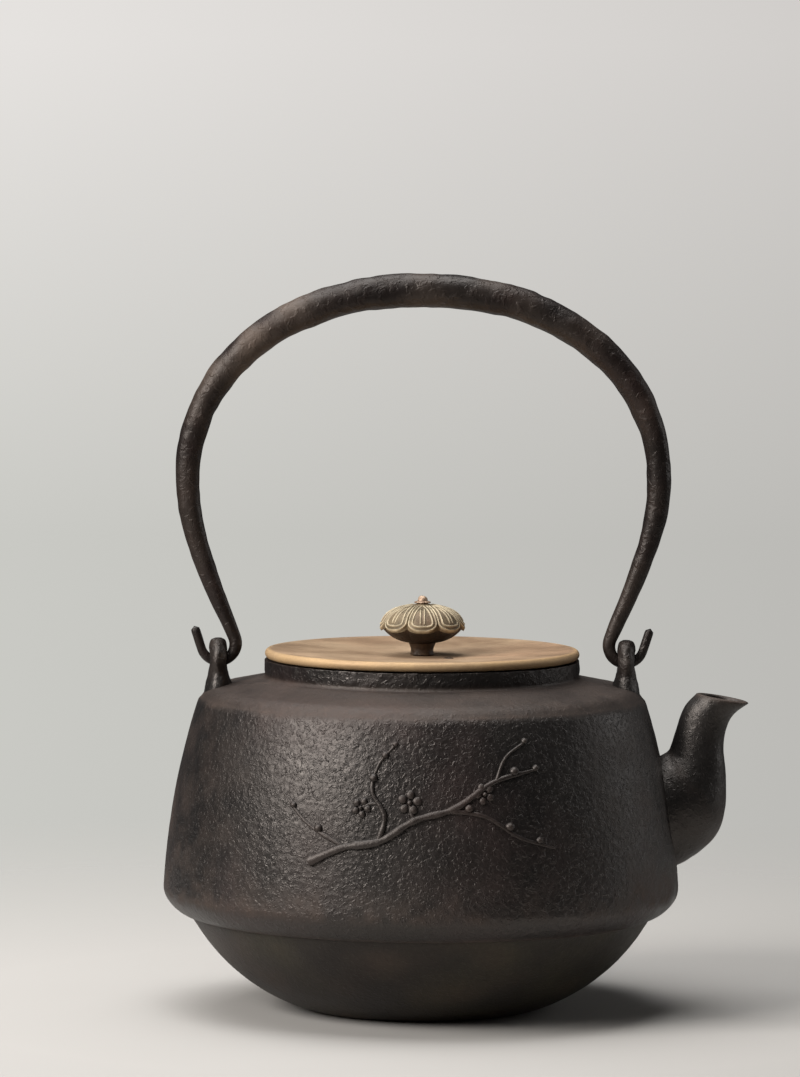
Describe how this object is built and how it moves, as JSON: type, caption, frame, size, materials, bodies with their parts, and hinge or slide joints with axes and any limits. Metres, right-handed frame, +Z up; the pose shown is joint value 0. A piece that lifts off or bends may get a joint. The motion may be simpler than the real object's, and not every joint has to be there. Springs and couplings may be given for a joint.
{
  "type": "cast iron kettle",
  "caption": "Round cast iron tea kettle with a flared skirt over a bowl bottom, short curved spout, swinging bail handle in two eyes, and a dished bronze lid with a petalled knob.",
  "frame": {"origin": "centre of the flat foot, on the surface the kettle stands on", "axes": "+Z up along the body's axis, +X out along the spout, the handle stands in the XZ plane"},
  "size_m": [0.1929, 0.1704, 0.2425],
  "materials": {
    "shell_iron": "dark brown-black cast skin, semi-gloss",
    "bowl_iron": "smoother grey-brown cast skin, satin",
    "handle_iron": "hammered dark iron, worn brown",
    "lid_bronze": "tan-brown patinated bronze, satin",
    "knob_patina": "grey-green patinated bronze",
    "knob_dark": "dark brown bronze",
    "rivet_copper": "pinkish copper"
  },
  "bodies": {
    "kettle": {"body_shell": "shell_iron", "bottom_bowl": "bowl_iron", "spout": "shell_iron", "lug_left": "shell_iron", "lug_right": "shell_iron"},
    "handle": {"handle_tube": "handle_iron", "handle_hook_left": "handle_iron", "handle_hook_right": "handle_iron"},
    "lid": {"lid_plate": "lid_bronze", "lid_flange": "lid_bronze", "rivet_washer": "rivet_copper", "knob_rivet": "rivet_copper", "knob_washer": "rivet_copper"},
    "knob": {"knob_stem": "knob_dark", "knob_lower_shell": "knob_dark", "knob_upper_shell": "knob_patina"}
  },
  "joints": [
    {"name": "handle_swing", "type": "hinge", "parent": "kettle", "child": "handle", "pos_m": [0, 0, 0.11445], "axis": [1, 0, 0], "range_deg": [-105, 105]},
    {"name": "lid_lift", "type": "slide", "parent": "kettle", "child": "lid", "axis": [0, 0, 1], "range_m": [0, 0.08]},
    {"name": "knob_turn", "type": "hinge", "parent": "lid", "child": "knob", "pos_m": [0, 0, 0.125], "axis": [0, 0, 1], "continuous": true}
  ]
}
